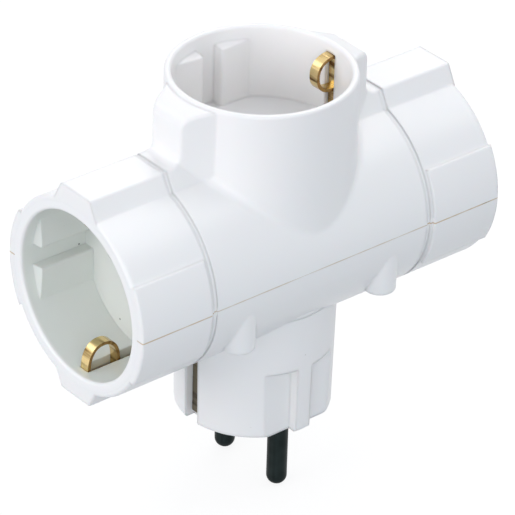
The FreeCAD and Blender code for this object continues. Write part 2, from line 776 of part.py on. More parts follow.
def build_clip(name, top, along, outward, reach, tail, foot):
    """An earth clip: a bowed loop in a recess's slot, a tail behind it and a foot on the strap."""
    body = new_body(name, rotation=turned(along, outward))
    start = top - size("clip_start") - size("pin_clearance")
    low = start - size("clip_length")
    crown = recess_radius - reach
    neck = recess_radius - size("clip_neck")
    half = size("clip_width") / 2
    loop = new_sketch(body, "loop", "XZ_Plane")
    polygon(loop, [
        (strap_inner, start), (strap_inner, low), (neck, low), (crown, start - size("crown_end")),
        (crown, start - size("crown_start")), (neck, start),
    ])
    extrude(body, loop, size("clip_width"), both_ways=True)
    round_edges(
        body, "loop_bends", size("clip_bend"),
        lambda edge, points: abs(points[0].y - points[1].y) > TOLERANCE and points[0].x < recess_radius.number,
    )
    sides = [
        f"Face{index}" for index, face in enumerate(body.Tip.Shape.Faces, start=1)
        if near(abs(face.CenterOfMass.y), half)
    ]
    shell = body.newObject("PartDesign::Thickness", "strip")
    shell.Base = (shell.BaseFeature, sides)
    shell.Value = strip.number
    shell.setExpression("Value", strip.formula)
    shell.Reversed = True
    finish(body, shell, False)
    back = rectangle(new_sketch(body, "tail", "YZ_Plane", clip_back), -half, half, tail, start)
    extrude(body, back, strip)
    if foot:
        bend = new_sketch(body, "foot", "XY_Plane", tail)
        rectangle(bend, clip_back - size("clip_foot"), clip_back, -half, half)
        extrude(body, bend, strip)
    return body


def build_strap(name, turn):
    """An earth strap: down past the clips, inward over the shell and down into the plug's side slot."""
    body = new_body(name, rotation=FreeCAD.Rotation(Z, turn))
    strap = new_sketch(body, "strap", "XZ_Plane")
    top = strap_outer + strip / 2
    bottom = size("strap_end") - plug_face
    polygon(strap, [
        (strap_inner, top), (strap_outer, top), (strap_outer, -jog_level), (earth_plane, -jog_level),
        (earth_plane, bottom), (contact_inner, bottom), (contact_inner, strip - jog_level),
        (strap_inner, strip - jog_level),
    ])
    extrude(body, strap, strap_width, both_ways=True)
    return body


def build_bridge():
    """The strip that joins the two earth straps across the inside."""
    body = new_body("earth_bridge")
    bridge = new_sketch(body, "bridge", "XY_Plane", strip - jog_level)
    half = strap_width / 2
    rectangle(bridge, -strap_inner + strip, strap_inner - strip, -half, half)
    extrude(body, bridge, strip)
    holes = new_sketch(body, "lightening", "XY_Plane", strip - jog_level)
    for end in (-1, 1):
        circle(holes, half / 2, end * pin_offset, 0)
    extrude(body, holes, strip, cut=True)
    return body


def build_busbar(name, turn):
    """A pole's busbar: a cross-shaped plate with a foot riveted on the plug pin."""
    body = new_body(name, rotation=FreeCAD.Rotation(Z, turn))
    plate = new_sketch(body, "plate", "XZ_Plane", -bus_inner)
    half = size("bus_width") / 2
    arm = cup_back - size("bus_gap")
    top = collar_back - size("bus_gap")
    foot = tab_level - plug_face
    polygon(plate, [
        (half, foot), (half, -half), (arm, -half), (arm, half), (half, half), (half, top),
        (-half, top), (-half, half), (-arm, half), (-arm, -half), (-half, -half), (-half, foot),
    ])
    extrude(body, plate, size("bus_thickness"), backward=True)
    tab = new_sketch(body, "tab", "XY_Plane", foot)
    rectangle(tab, -half, half, pin_offset - half, bus_outer)
    extrude(body, tab, size("bus_thickness"))
    hole = circle(new_sketch(body, "rivet_hole", "XY_Plane", foot), size("tenon_radius"), 0, pin_offset)
    extrude(body, hole, size("bus_thickness"), cut=True)
    return body


def build_sleeve(name, top, along, outward, flank):
    """A spring sleeve behind one pin hole: a split tube with a flat back on the busbar."""
    body = new_body(name, at=(0, flank * pin_offset, 0), rotation=turned(along, outward))
    back = body.Placement.Rotation.inverted().multVec(Y * flank)
    side = 1 if abs(back.y) < TOLERANCE else back.y
    start = top - size("sleeve_gap") - size("sleeve_length")
    tube = circle(new_sketch(body, "tube", "XY_Plane", start), sleeve_half)
    extrude(body, tube, size("sleeve_length"))
    base = new_sketch(body, "flat_back", "XY_Plane", start)
    rectangle(base, -sleeve_half, sleeve_half, *in_order(side * size("pin_radius") / 2, side * sleeve_half))
    extrude(body, base, size("sleeve_length"))
    bore = circle(new_sketch(body, "bore", "XY_Plane", start), sleeve_bore)
    extrude(body, bore, size("sleeve_length"), cut=True)
    opening = new_sketch(body, "opening", "XY_Plane", start)
    half = size("sleeve_opening") / 2
    rectangle(opening, -half, half, *in_order(-side * size("pin_radius") / 2, -side * 2 * sleeve_half))
    extrude(body, opening, size("sleeve_length"), cut=True)
    return body


def build_pin(name, flank):
    """A plug pin: round-ended shank, a seat in the plug's floor, a flange on it and a riveted tenon."""
    body = new_body(name, at=(0, flank * pin_offset, -plug_face))
    radius = size("pin_radius")
    profile = new_sketch(body, "profile", "XZ_Plane")
    polygon(profile, [
        (0, -size("pin_length")), (radius, -size("pin_length")), (radius, 0),
        (size("pin_seat_radius"), 0), (size("pin_seat_radius"), floor_thickness),
        (size("flange_radius"), floor_thickness), (size("flange_radius"), carrier_level), (radius, carrier_level),
        (radius, tab_level), (size("tenon_radius"), tab_level),
        (size("tenon_radius"), tab_level + size("bus_thickness")),
        (size("rivet_radius"), tab_level + size("bus_thickness")),
        (size("rivet_radius"), tab_level + size("bus_thickness") + size("rivet_height")),
        (0, tab_level + size("bus_thickness") + size("rivet_height")),
    ])
    revolve(body, profile, "V_Axis")
    round_edges(
        body, "tip", radius * 0.95,
        lambda edge, points: all(near(point.z, -size("pin_length")) for point in points),
    )
    return body


def build_carrier():
    """The moulded block that holds both pins in line between their flanges and the busbars' feet."""
    body = new_body("pin_carrier", at=(0, 0, carrier_level - plug_face))
    block = new_sketch(body, "block", "XY_Plane")
    half_width = size("flange_radius") + size("shell_wall")
    half_depth = bus_inner - size("fit_gap")
    rectangle(block, -half_width, half_width, -half_depth, half_depth)
    extrude(body, block, size("carrier_height"))
    round_edges(
        body, "corners", size("shell_wall"),
        lambda edge, points: near(abs(points[0].x), half_width) and near(abs(points[0].y), half_depth)
        and abs(points[0].z - points[1].z) > TOLERANCE,
    )
    bores = new_sketch(body, "bores", "XY_Plane")
    for flank in (-1, 1):
        circle(bores, sleeve_bore, 0, flank * pin_offset)
    extrude(body, bores, size("carrier_height"), cut=True)
    core = new_sketch(body, "core", "XY_Plane", floor_thickness)
    reach = pin_offset - sleeve_half - size("shell_wall")
    rectangle(core, -half_width / 2, half_width / 2, -reach, reach)
    extrude(body, core, size("carrier_height"), cut=True)
    return body


def build_screws():
    """The four housing screws, heads down in the towers."""
    body = new_body("housing_screws")
    body.AllowCompound = True
    seat = size("head_sink") - size("tower_drop")
    head = new_sketch(body, "heads", "XY_Plane", seat)
    shank = new_sketch(body, "shanks", "XY_Plane", seat)
    drive = new_sketch(body, "drives", "XY_Plane", seat - size("head_height"))
    half = size("drive_width") / 2
    for across, up in screw_places():
        circle(head, size("head_radius"), across, up)
        circle(shank, size("screw_radius"), across, up)
        rectangle(
            drive, across - size("screw_radius"), across + size("screw_radius"), up - half, up + half,
        )
    extrude(body, head, size("head_height"), backward=True)
    extrude(body, shank, size("nut_height") - size("shell_wall") * 2 - seat)
    extrude(body, drive, size("head_height") / 2, cut=True)
    return body


def build_all():
    """Every piece of the adapter."""
    build_upper_housing()
    build_lower_housing()
    ends = (("left", -X, 180), ("right", X, 0))
    for side, outward, turn in ends:
        build_cup(f"{side}_socket_cup", Z, outward)
        build_strap(f"{side}_earth_strap", turn)
        for level, along in (("upper", Z), ("lower", -Z)):
            build_clip(
                f"{side}_clip_{level}", half_length, along, outward, size("clip_reach"), strap_outer, foot=True,
            )
        build_clip(
            f"top_clip_{side}", collar_top, outward, Z, size("top_clip_reach"), size("top_clip_tail"), foot=False,
        )
    build_bridge()
    for pole, flank, turn in (("live", 1, 0), ("neutral", -1, 180)):
        build_busbar(f"{pole}_busbar", turn)
        build_pin(f"{pole}_pin", flank)
        build_sleeve(f"top_{pole}_sleeve", collar_back, X, Z, flank)
        for side, outward, turn in ends:
            build_sleeve(f"{side}_{pole}_sleeve", cup_back, Z, outward, flank)
    build_carrier()
    build_screws()


def export_bodies():
    """Checks every body and writes each to its own STEP file."""
    document.recompute()
    for item in document.Objects:
        if "Invalid" in item.State or "Error" in item.State:
            raise RuntimeError(f"{item.Label} can't be computed")
    os.makedirs("parts", exist_ok=True)
    for body in document.findObjects("PartDesign::Body"):
        if body.Shape.isNull() or not body.Shape.isValid():
            raise RuntimeError(f"{body.Label} has no sound shape")
        body.Shape.exportStep(f"parts/{body.Label}.step")


build_all()
export_bodies()
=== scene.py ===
import math

import bmesh
import bpy
import numpy as np
from mathutils import Matrix, Vector


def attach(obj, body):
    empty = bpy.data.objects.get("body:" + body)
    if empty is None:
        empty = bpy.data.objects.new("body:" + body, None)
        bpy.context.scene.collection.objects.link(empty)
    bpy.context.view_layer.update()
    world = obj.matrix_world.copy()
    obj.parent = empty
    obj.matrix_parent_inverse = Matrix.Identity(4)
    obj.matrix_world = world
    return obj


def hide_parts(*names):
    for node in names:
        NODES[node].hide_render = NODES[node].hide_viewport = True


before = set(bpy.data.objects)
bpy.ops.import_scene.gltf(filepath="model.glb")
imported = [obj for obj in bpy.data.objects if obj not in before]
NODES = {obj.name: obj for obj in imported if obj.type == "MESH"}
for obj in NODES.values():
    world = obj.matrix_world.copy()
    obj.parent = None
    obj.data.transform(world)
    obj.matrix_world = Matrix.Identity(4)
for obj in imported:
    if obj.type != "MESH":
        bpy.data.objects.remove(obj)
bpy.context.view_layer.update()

# Lengths are in metres. Heights above the plug's face: the barrel's axis, and the floor under it
AXIS_HEIGHT = 0.046
FLOOR_LEVEL = -0.019
FLOOR_REACH = 6.0

# Ends, from the crossing of the barrel's and the collar's axes, and radii round those axes
BARREL_END = 0.0512
COLLAR_TOP = 0.0396
SHELL_INNER = 0.022
CUP_OUTER = 0.02195
RECESS_RADIUS = 0.0199
RECESS_DEPTH = 0.018

# The plug's upper rim, and the sliver on it: its wall, half its turn, and how far it reaches down
# and up
PLUG_RIM = 0.0186
PLUG_TOP = AXIS_HEIGHT - 0.0152
NECK_WALL = 0.0007
NECK_TURN = math.radians(20)
NECK_DOWN = 0.00005
NECK_UP = 0.00125

# An earth clip's brass: the strip's thickness and width, the loop's length along the recess, how
# far it starts below the recess's mouth and behind its wall's face, and where its bends begin
STRIP = 0.0008
CLIP_WIDTH = 0.0026
CLIP_LENGTH = 0.009
SLOT_START = 0.00265
LOOP_BASE = 0.0003
LOOP_POWER = 2.3
BEND_SETBACK = 0.0006

# How far a side clip's foot reaches in, and where a top clip steps, round the recess's floor
FOOT_REACH = 0.0048
STEP_BELOW = 0.0008
STEP_ABOVE = 0.0012

# What differs between the side recesses' clips and the top one's: the recess's mouth, how deep
# the strip lies in the wall, where its tail ends, counted as the mouth is, and if the tail turns
# in to a foot
SIDE_CLIP = {"top": BARREL_END, "depth": 0.0025, "tail": 0.0236, "foot": True}
TOP_CLIP = {"top": COLLAR_TOP, "depth": 0.0012, "tail": 0.0168, "foot": False}

# The seam's grime: half its height, how far it lies under the surface, how deep it goes in, and
# the housings' outline there, from the middle to an end: place along the barrel and distance from
# its axis
SEAM_HALF = 0.000049
SEAM_SUNK = 0.00001
SEAM_DEPTH = 0.0006
SEAM_OUTLINE = (
    (0.03018, 0.0234), (0.03022, 0.02305), (0.03118, 0.02305), (0.03122, 0.0234),
    (0.03188, 0.0234), (0.03192, 0.02365), (0.0320, 0.0239), (0.0323, 0.02404),
    (0.0508, 0.02404), (0.05104, 0.02396), (0.05117, 0.02372),
)

# The thin ring round a cup: how far in from the cup's end it starts and ends, and its play at
# both sides
JOINT_LOW = 0.0007
JOINT_HIGH = 0.00002
JOINT_PLAY = 0.000003

# Where things fade in, from none to full: the grips' grime, out from the barrel's middle, the
# softening of edges, away from the seam and from a cup's joint, and the painted light on the rim,
# towards a cup's end. The line painted at the seam fades out.
GRIP_FADE = (0.0303, 0.0307)
SEAM_FADE = (0.0006, 0.0014)
JOINT_FADE = (0.0004, 0.0008)
RIM_LIGHT_FADE = (0.0012, 0.0004)
LINE_FADE = (0.00008, 0.00022)

# Patterns, counted per metre: 1000 divided by the size in millimetres of what repeats. The
# plastic's tone drifts over 29 mm, and a cell of 6 mm holds one stray speck or none. Grime comes
# and goes over 6 mm.
TONE_CLOUDS = 35.0
SPECK_CELLS = 170.0
GRIME_CLOUDS = 160.0

# Brass has painted dark reflections in bands of 2 mm that cross the strip's width of 2.6 mm, and
# rolling streaks 0.17 mm wide and 3 mm long. The plating's tone drifts over 3 mm, and its turning
# lines stand 0.11 mm apart. Streaks and lines are coarser than the real ones, so that they show.
DARK_REFLECTION_BANDS = (520.0, 60.0, 520.0)
STREAKS_ACROSS = 6000.0
STREAKS_ALONG = 300.0
PLATING_CLOUDS = 300.0
TURNING_LINES = (200.0, 200.0, 9000.0)

# The height of every ripple, streak and turning line, and the angle between two faces, in
# radians, past which their edge stays sharp
RELIEF = 0.00002
SHARP_ANGLE = 0.6

# The photograph's camera, fitted to its outlines: degrees, metres, and pixels of its square
# frame. The sensor's width is in millimetres.
CAMERA_BEARING = 40.23
CAMERA_HEIGHT = 31.57
CAMERA_ROLL = 1.71
CAMERA_DISTANCE = 0.87816
LENS_PIXELS = 3919.09
PHOTO_WIDTH = 515.0
AXES_CROSSING = (257.26, 223.66)
SENSOR_WIDTH = 36.0

# The studio: a cool dome, and round lamps by name, place, watts and colour, aimed at the part
DOME_COLOUR = (0.865, 0.915, 1.0, 1.0)
DOME_STRENGTH = 0.58
WHITE = (1.0, 1.0, 1.0, 1.0)
LAMP_WIDTH = 0.9
LAMP_AIM = (0.0, 0.0, 0.04)
LAMPS = (
    ("left", (-1.3, 0.1, 0.45), 5.6, (1.0, 0.93, 0.92)),
    ("front_left", (-0.95, -0.95, 0.35), 4.3, (0.9, 0.95, 1.0)),
    ("front_above", (-0.3, -0.9, 1.0), 0.8, (1.0, 1.0, 1.0)),
    ("front_low", (-0.2, -1.3, 0.3), 1.4, (0.92, 0.96, 1.0)),
    ("right_above", (0.7, -0.3, 1.2), 3.3, (1.0, 0.98, 0.97)),
    ("right_back", (0.8, 0.6, 1.0), 5.3, (1.0, 0.97, 0.96)),
    ("back_left", (-0.8, 0.7, 0.8), 2.4, (0.9, 0.97, 1.0)),
)


def from_hex(text):
    """An sRGB hex colour as linear red, green, blue and full alpha."""
    channels = [int(text[start:start + 2], 16) / 255 for start in (1, 3, 5)]
    linear = [c / 12.92 if c <= 0.04045 else ((c + 0.055) / 1.055) ** 2.4 for c in channels]
    return (*linear, 1.0)


def add(tree, kind, inputs=None, **settings):
    """One node: settings name its properties, and inputs take values or other nodes' outputs."""
    node = tree.nodes.new(kind)
    for key, value in settings.items():
        setattr(node, key, value)
    for key, value in (inputs or {}).items():
        if isinstance(value, bpy.types.NodeSocket):
            tree.links.new(value, node.inputs[key])
        else:
            node.inputs[key].default_value = value
    return node


def new_material(name):
    """An empty material with its output; returns the material, its tree and the output."""
    material = bpy.data.materials.new(name)
    material.use_nodes = True
    tree = material.node_tree
    tree.nodes.clear()
    return material, tree, tree.nodes.new("ShaderNodeOutputMaterial")


def moulded_plastic(
    name, pale, shade, roughness, grain_mm, edge_mm, seam=False, rim=None, flecks=(),
):
    """Injection-moulded plastic: an even, milky gloss, a faint orange-peel ripple and soft edges.

    Stray specks a few tenths of a millimetre across stand in one cell in twenty. Where a casing's
    halves meet at the barrel's axis, the joint has a thin warm line of grime. A cup's rim has
    painted
    light: it is painted paler than its wall, as in full light. Flecks are the places of single dark
    marks.
    """
    material, tree, output = new_material(name)
    place = add(tree, "ShaderNodeTexCoord").outputs["Object"]
    drift = add(tree, "ShaderNodeTexNoise", {
        "Vector": place, "Scale": TONE_CLOUDS, "Detail": 3.0, "Roughness": 0.5,
    })
    tone = add(tree, "ShaderNodeMix", {
        "Factor": drift.outputs["Fac"], "A": from_hex(pale), "B": from_hex(shade),
    }, data_type="RGBA")
    cells = add(tree, "ShaderNodeTexVoronoi", {"Vector": place, "Scale": SPECK_CELLS}, feature="F1")
    speck = add(tree, "ShaderNodeMapRange", {
        "Value": cells.outputs["Distance"], "From Min": 0.015, "From Max": 0.04,
        "To Min": 1.0, "To Max": 0.0,
    })
    rare = add(tree, "ShaderNodeSeparateColor", {"Color": cells.outputs["Color"]})
    chosen = add(tree, "ShaderNodeMath", {
        0: rare.outputs["Red"], 1: 0.95,
    }, operation="GREATER_THAN")
    strength = add(tree, "ShaderNodeMath", {
        0: speck.outputs["Result"], 1: chosen.outputs[0],
    }, operation="MULTIPLY")
    colour = add(tree, "ShaderNodeMix", {
        "Factor": strength.outputs[0], "A": tone.outputs["Result"], "B": from_hex("#B9B3A6"),
    }, data_type="RGBA").outputs["Result"]
    if seam:
        colour = add_seam(tree, place, colour)
    # Painted light: towards a cup's end the rim is painted paler, as where it stands in full light.
    if rim:
        split = add(tree, "ShaderNodeSeparateXYZ", {"Vector": place})
        end = add(tree, "ShaderNodeMath", {0: split.outputs["X"]}, operation="ABSOLUTE")
        painted_rim_light = add(tree, "ShaderNodeMapRange", {
            "Value": end.outputs[0],
            "From Min": BARREL_END - RIM_LIGHT_FADE[0], "From Max": BARREL_END - RIM_LIGHT_FADE[1],
        })
        colour = add(tree, "ShaderNodeMix", {
            "Factor": painted_rim_light.outputs[0], "A": colour, "B": from_hex(rim),
        }, data_type="RGBA").outputs["Result"]
    for centre in flecks:
        colour = add_mark(tree, place, colour, centre, 0.00028, "#4A4636")
    ripple = add(tree, "ShaderNodeTexNoise", {
        "Vector": place, "Scale": 1000.0 / grain_mm, "Detail": 2.0,
    })
    soft = add(tree, "ShaderNodeBevel", {
        "Radius": edge_radius(tree, place, edge_mm / 1000.0),
    }, samples=6)
    bump = add(tree, "ShaderNodeBump", {
        "Height": ripple.outputs["Fac"], "Strength": 0.1, "Distance": RELIEF,
        "Normal": soft.outputs["Normal"],
    })
    shine = add(tree, "ShaderNodeMapRange", {
        "Value": drift.outputs["Fac"], "To Min": roughness - 0.04, "To Max": roughness + 0.05,
    })
    skin = add(tree, "ShaderNodeBsdfPrincipled", {
        "Base Color": colour, "Roughness": shine.outputs["Result"], "IOR": 1.53,
        "Normal": bump.outputs["Normal"], "Subsurface Weight": 0.06, "Subsurface Scale": 0.002,
    })
    tree.links.new(skin.outputs[0], output.inputs["Surface"])
    return material


def edge_radius(tree, place, radius):
    """The radius that softens an edge: full all over, but none at the seam and at the cup's joint.

    There two pieces meet flush, and softened edges would show a groove.
    """
    split = add(tree, "ShaderNodeSeparateXYZ", {"Vector": place})
    rise = add(tree, "ShaderNodeMath", {
        0: split.outputs["Z"], 1: AXIS_HEIGHT,
    }, operation="SUBTRACT")
    from_seam = add(tree, "ShaderNodeMath", {0: rise.outputs[0]}, operation="ABSOLUTE")
    off_seam = add(tree, "ShaderNodeMapRange", {
        "Value": from_seam.outputs[0],
        "From Min": SEAM_FADE[0], "From Max": SEAM_FADE[1], "To Max": radius,
    })
    flat = add(tree, "ShaderNodeCombineXYZ", {"Y": split.outputs["Y"], "Z": rise.outputs[0]})
    around = add(tree, "ShaderNodeVectorMath", {0: flat.outputs[0]}, operation="LENGTH")
    from_joint = add(tree, "ShaderNodeMath", {
        0: around.outputs["Value"], 1: SHELL_INNER,
    }, operation="SUBTRACT")
    off_joint = add(tree, "ShaderNodeMath", {0: from_joint.outputs[0]}, operation="ABSOLUTE")
    clear = add(tree, "ShaderNodeMapRange", {
        "Value": off_joint.outputs[0], "From Min": JOINT_FADE[0], "From Max": JOINT_FADE[1],
    })
    return add(tree, "ShaderNodeMath", {
        0: off_seam.outputs[0], 1: clear.outputs[0],
    }, operation="MULTIPLY").outputs[0]


def add_mark(tree, place, colour, centre, radius, dark):
    """The colour with one round dark mark at a point of the surface, soft over its outer part."""
    gap = add(tree, "ShaderNodeVectorMath", {0: place, 1: centre}, operation="DISTANCE")
    inside = add(tree, "ShaderNodeMapRange", {
        "Value": gap.outputs["Value"], "From Min": radius * 0.6, "From Max": radius,
        "To Min": 0.8, "To Max": 0.0,
    })
    return add(tree, "ShaderNodeMix", {
        "Factor": inside.outputs[0], "A": colour, "B": from_hex(dark),
    }, data_type="RGBA").outputs["Result"]


def add_seam(tree, place, colour):
    """The colour with a thin amber line at the axis height, stronger on the grips than off them."""
    split = add(tree, "ShaderNodeSeparateXYZ", {"Vector": place})
    along = add(tree, "ShaderNodeMath", {0: split.outputs["X"]}, operation="ABSOLUTE")
    grips = add(tree, "ShaderNodeMapRange", {
        "Value": along.outputs[0], "From Min": GRIP_FADE[0], "From Max": GRIP_FADE[1],
        "To Min": 0.55, "To Max": 0.9,
    })
    uneven = add(tree, "ShaderNodeTexNoise", {
        "Vector": place, "Scale": GRIME_CLOUDS, "Detail": 2.0,
    })
    grime = add(tree, "ShaderNodeMapRange", {
        "Value": uneven.outputs["Fac"], "From Min": 0.3, "From Max": 0.6,
    })
    offset = add(tree, "ShaderNodeMath", {
        0: split.outputs["Z"], 1: AXIS_HEIGHT,
    }, operation="SUBTRACT")
    away = add(tree, "ShaderNodeMath", {0: offset.outputs[0]}, operation="ABSOLUTE")
    line = add(tree, "ShaderNodeMapRange", {
        "Value": away.outputs[0], "From Min": LINE_FADE[0], "From Max": LINE_FADE[1],
        "To Min": 1.0, "To Max": 0.0,
    })
    lined = add(tree, "ShaderNodeMath", {
        0: grips.outputs[0], 1: line.outputs[0],
    }, operation="MULTIPLY")
    tint = add(tree, "ShaderNodeMath", {
        0: lined.outputs[0], 1: grime.outputs[0],
    }, operation="MULTIPLY")
    return add(tree, "ShaderNodeMix", {
        "Factor": tint.outputs[0], "A": colour, "B": from_hex("#C9AE86"),
    }, data_type="RGBA").outputs["Result"]


def seam_grime(name):
    """Dust and grease packed in a joint: cream between the grips, amber on them, a brown spot."""
    material, tree, output = new_material(name)
    place = add(tree, "ShaderNodeTexCoord").outputs["Object"]
    split = add(tree, "ShaderNodeSeparateXYZ", {"Vector": place})
    along = add(tree, "ShaderNodeMath", {0: split.outputs["X"]}, operation="ABSOLUTE")
    grips = add(tree, "ShaderNodeMapRange", {
        "Value": along.outputs[0], "From Min": GRIP_FADE[0], "From Max": GRIP_FADE[1],
    })
    uneven = add(tree, "ShaderNodeTexNoise", {
        "Vector": place, "Scale": GRIME_CLOUDS, "Detail": 2.0,
    })
    worn = add(tree, "ShaderNodeMix", {
        "Factor": uneven.outputs["Fac"], "A": from_hex("#B8986A"), "B": from_hex("#DCCBAE"),
    }, data_type="RGBA")
    colour = add(tree, "ShaderNodeMix", {
        "Factor": grips.outputs[0], "A": from_hex("#CDBFAE"), "B": worn.outputs["Result"],
    }, data_type="RGBA").outputs["Result"]
    colour = add_mark(tree, place, colour, (0.0474, -0.0238, AXIS_HEIGHT), 0.0016, "#2E2418")
    skin = add(tree, "ShaderNodeBsdfPrincipled", {"Base Color": colour, "Roughness": 0.7})
    tree.links.new(skin.outputs[0], output.inputs["Surface"])
    return material


def rolled_brass(name, bright, dull, dark, roughness, streak_axis):
    """Cold-rolled brass strip: bright rolled faces, browner sheared edges, dark bands of painted
    reflection.

    The rolled faces look across the strip's width, which lies along Y, so a face that looks along
    Y is an edge. The bands cross the whole width, and fine streaks run along the strip.
    """
    material, tree, output = new_material(name)
    place = add(tree, "ShaderNodeTexCoord").outputs["Object"]
    normal = add(tree, "ShaderNodeNewGeometry").outputs["True Normal"]
    facing = add(tree, "ShaderNodeSeparateXYZ", {"Vector": normal})
    sideways = add(tree, "ShaderNodeMath", {0: facing.outputs["Y"]}, operation="ABSOLUTE")
    sheared = add(tree, "ShaderNodeMapRange", {
        "Value": sideways.outputs[0], "From Min": 0.6, "From Max": 0.8,
    })
    rolled = add(tree, "ShaderNodeMix", {
        "Factor": sheared.outputs[0], "A": from_hex(bright), "B": from_hex(dull),
    }, data_type="RGBA")
    # Painted reflection: dark bands across the strip stand for dark surroundings seen in the brass.
    banded = add(tree, "ShaderNodeMapping", {"Vector": place, "Scale": DARK_REFLECTION_BANDS})
    reflection_bands = add(tree, "ShaderNodeTexNoise", {
        "Vector": banded.outputs[0], "Scale": 1.0, "Detail": 2.0,
    })
    painted_reflection = add(tree, "ShaderNodeMapRange", {
        "Value": reflection_bands.outputs["Fac"], "From Min": 0.52, "From Max": 0.68,
    })
    colour = add(tree, "ShaderNodeMix", {
        "Factor": painted_reflection.outputs["Result"], "A": rolled.outputs["Result"], "B": from_hex(dark),
    }, data_type="RGBA")
    counts = [STREAKS_ALONG if axis == streak_axis else STREAKS_ACROSS for axis in "XYZ"]
    stretched = add(tree, "ShaderNodeMapping", {"Vector": place, "Scale": counts})
    streaks = add(tree, "ShaderNodeTexNoise", {
        "Vector": stretched.outputs[0], "Scale": 1.0, "Detail": 2.0,
    })
    soft = add(tree, "ShaderNodeBevel", {"Radius": 0.00012}, samples=4)
    bump = add(tree, "ShaderNodeBump", {
        "Height": streaks.outputs["Fac"], "Strength": 0.3, "Distance": RELIEF,
        "Normal": soft.outputs["Normal"],
    })
    shine = add(tree, "ShaderNodeMapRange", {
        "Value": reflection_bands.outputs["Fac"], "To Min": roughness - 0.08, "To Max": roughness + 0.15,
    })
    skin = add(tree, "ShaderNodeBsdfPrincipled", {
        "Base Color": colour.outputs["Result"], "Metallic": 1.0,
        "Roughness": shine.outputs["Result"], "Normal": bump.outputs["Normal"],
    })
    tree.links.new(skin.outputs[0], output.inputs["Surface"])
    return material


def plated_metal(name, light, dark, roughness, spread):
    """Plated turned metal: turning lines under an even skin draw highlights out lengthwise."""
    material, tree, output = new_material(name)
    place = add(tree, "ShaderNodeTexCoord").outputs["Object"]
    cloud = add(tree, "ShaderNodeTexNoise", {
        "Vector": place, "Scale": PLATING_CLOUDS, "Detail": 3.0,
    })
    colour = add(tree, "ShaderNodeMix", {
        "Factor": cloud.outputs["Fac"], "A": from_hex(light), "B": from_hex(dark),
    }, data_type="RGBA")
    flattened = add(tree, "ShaderNodeMapping", {"Vector": place, "Scale": TURNING_LINES})
    lines = add(tree, "ShaderNodeTexNoise", {
        "Vector": flattened.outputs[0], "Scale": 1.0, "Detail": 1.0,
    })
    bump = add(tree, "ShaderNodeBump", {
        "Height": lines.outputs["Fac"], "Strength": 0.2, "Distance": RELIEF,
    })
    shine = add(tree, "ShaderNodeMapRange", {
        "Value": cloud.outputs["Fac"], "To Min": roughness - 0.06, "To Max": roughness + 0.08,
    })
    upright = add(tree, "ShaderNodeCombineXYZ", {"Z": 1.0})
    skin = add(tree, "ShaderNodeBsdfPrincipled", {
        "Base Color": colour.outputs["Result"], "Metallic": 1.0,
        "Roughness": shine.outputs["Result"], "Anisotropic": spread,
        "Tangent": upright.outputs[0], "Normal": bump.outputs["Normal"],
    })
    tree.links.new(skin.outputs[0], output.inputs["Surface"])
    return material


def tube_faces(stations, sides, closed):
    """Quads between each ring of a swept section and the next, and end caps on an open sweep."""
    here = np.arange(stations if closed else stations - 1)[:, None] * sides
    there = (here + sides) % (stations * sides)
    side = np.arange(sides)
    after = (side + 1) % sides
    quads = np.stack([here + side, here + after, there + after, there + side], axis=-1)
    faces = quads.reshape(-1, 4).tolist()
    if not closed:
        faces += [list(range(sides)), list(range((stations - 1) * sides, stations * sides))]
    return faces


def link_sweep(name, x, y, z, closed, material):
    """A new closed piece on the part's body, swept from rings of points, with its faces outward.

    The three coordinates are arrays with a row for each station and a column for each corner of the
    section, or arrays that spread to that. The edges between the piece's sides stay sharp.
    """
    rings = np.stack(np.broadcast_arrays(x, y, z), axis=-1)
    mesh = bpy.data.meshes.new(name)
    mesh.from_pydata(rings.reshape(-1, 3).tolist(), [], tube_faces(*rings.shape[:2], closed))
    shape = bmesh.new()
    shape.from_mesh(mesh)
    bmesh.ops.recalc_face_normals(shape, faces=shape.faces)
    shape.to_mesh(mesh)
    shape.free()
    mesh.polygons.foreach_set("use_smooth", [True] * len(mesh.polygons))
    mesh.set_sharp_from_angle(angle=SHARP_ANGLE)
    mesh.materials.append(material)
    piece = bpy.data.objects.new(name, mesh)
    bpy.context.scene.collection.objects.link(piece)
    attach(piece, "root")
    return piece


def rounded_path(corners, setback, steps=6):
    """The corners' path with an arc, tangent to both sides, in place of each inner corner.

    Each arc is the quadratic curve that starts and ends the given setback from its corner.
    """
    corners = np.array(corners, float)
    part = np.linspace(0.0, 1.0, steps)[:, None]
    path = [corners[:1]]
    for before, corner, after in zip(corners, corners[1:], corners[2:]):
        start = corner + (before - corner) / np.linalg.norm(before - corner) * setback
        end = corner + (after - corner) / np.linalg.norm(after - corner) * setback
        path.append((1 - part) ** 2 * start + 2 * part * (1 - part) * corner + part ** 2 * end)
    return np.vstack([*path, corners[-1:]])


def clip_path(top, reach, depth, tail, foot):
    """The earth clip's centre line, as distances from the recess's axis and along it.

    The tail rises behind the wall. One with no foot steps, past the recess's floor, to where the
    strip lies less deep. The strip runs on to the loop's start. The loop bows out of the slot by
    the reach, as half a superellipse, whose power of 2.3 gives it a fuller shoulder than a
    circle's, and ends back at the strip.
    """
    floor = top - RECESS_DEPTH
    back = RECESS_RADIUS + depth
    behind = SHELL_INNER + STRIP / 2
    base = RECESS_RADIUS + LOOP_BASE
    low = tail + STRIP / 2
    high = top - SLOT_START - STRIP / 2
    if foot:
        rise = [(SHELL_INNER - FOOT_REACH, low), (behind, low)]
    else:
        rise = [(behind, low), (behind, floor - STEP_BELOW), (back, floor + STEP_ABOVE)]
    rise += [(back, high), (base, high)]
    half = (CLIP_LENGTH - STRIP) / 2
    height = base - (RECESS_RADIUS - reach + STRIP / 2)
    turn = np.linspace(0.0, math.pi, 33)
    bow = base - height * np.sin(turn).clip(0.0) ** (2 / LOOP_POWER)
    along = high - half + half * np.sign(np.cos(turn)) * np.abs(np.cos(turn)) ** (2 / LOOP_POWER)
    end = (back - STRIP / 2 + 0.00005, along[-1])
    return np.vstack([rounded_path(rise, BEND_SETBACK)[:-1], np.stack([bow, along], axis=1), end])


